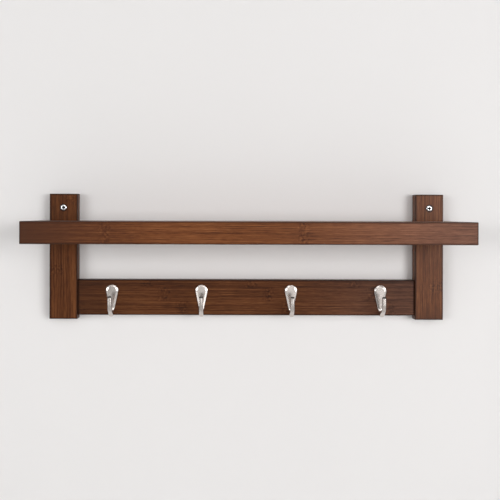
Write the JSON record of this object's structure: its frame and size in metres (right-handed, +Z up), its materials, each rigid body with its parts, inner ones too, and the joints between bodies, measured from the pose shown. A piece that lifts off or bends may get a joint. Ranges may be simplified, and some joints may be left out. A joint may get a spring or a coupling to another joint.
{
  "type": "wall shelf with hooks",
  "caption": "Wall shelf of dark stained bamboo: a thick board crossing two flat uprights, over a rail that carries cast teardrop coat hooks.",
  "frame": {"origin": "on the wall plane, midway between the axes of the two wall screws", "axes": "+X along the shelf, to the viewer's right; +Y into the wall; +Z up"},
  "size_m": [0.6, 0.147, 0.18],
  "materials": {
    "shelf_bamboo": "walnut stained bamboo, satin lacquer",
    "upright_bamboo": "walnut stained bamboo, satin lacquer",
    "rail_bamboo": "walnut stained bamboo, satin lacquer",
    "hook_nickel": "satin nickel plated zinc casting",
    "screw_steel": "zinc plated steel",
    "dowel_beech": "plain beech"
  },
  "bodies": {
    "root": {"shelf_board": "shelf_bamboo", "upright_left": "upright_bamboo", "upright_right": "upright_bamboo", "hook_rail": "rail_bamboo", "coat_hook_1": "hook_nickel", "coat_hook_2": "hook_nickel", "coat_hook_3": "hook_nickel", "coat_hook_4": "hook_nickel", "wall_screw_left": "screw_steel", "wall_screw_right": "screw_steel", "shelf_screw_left_lower": "screw_steel", "shelf_screw_left_upper": "screw_steel", "shelf_screw_right_lower": "screw_steel", "shelf_screw_right_upper": "screw_steel", "hook_screw_1": "screw_steel", "hook_screw_2": "screw_steel", "hook_screw_3": "screw_steel", "hook_screw_4": "screw_steel", "rail_dowel_left_lower": "dowel_beech", "rail_dowel_left_upper": "dowel_beech", "rail_dowel_right_lower": "dowel_beech", "rail_dowel_right_upper": "dowel_beech"}
  },
  "joints": []
}
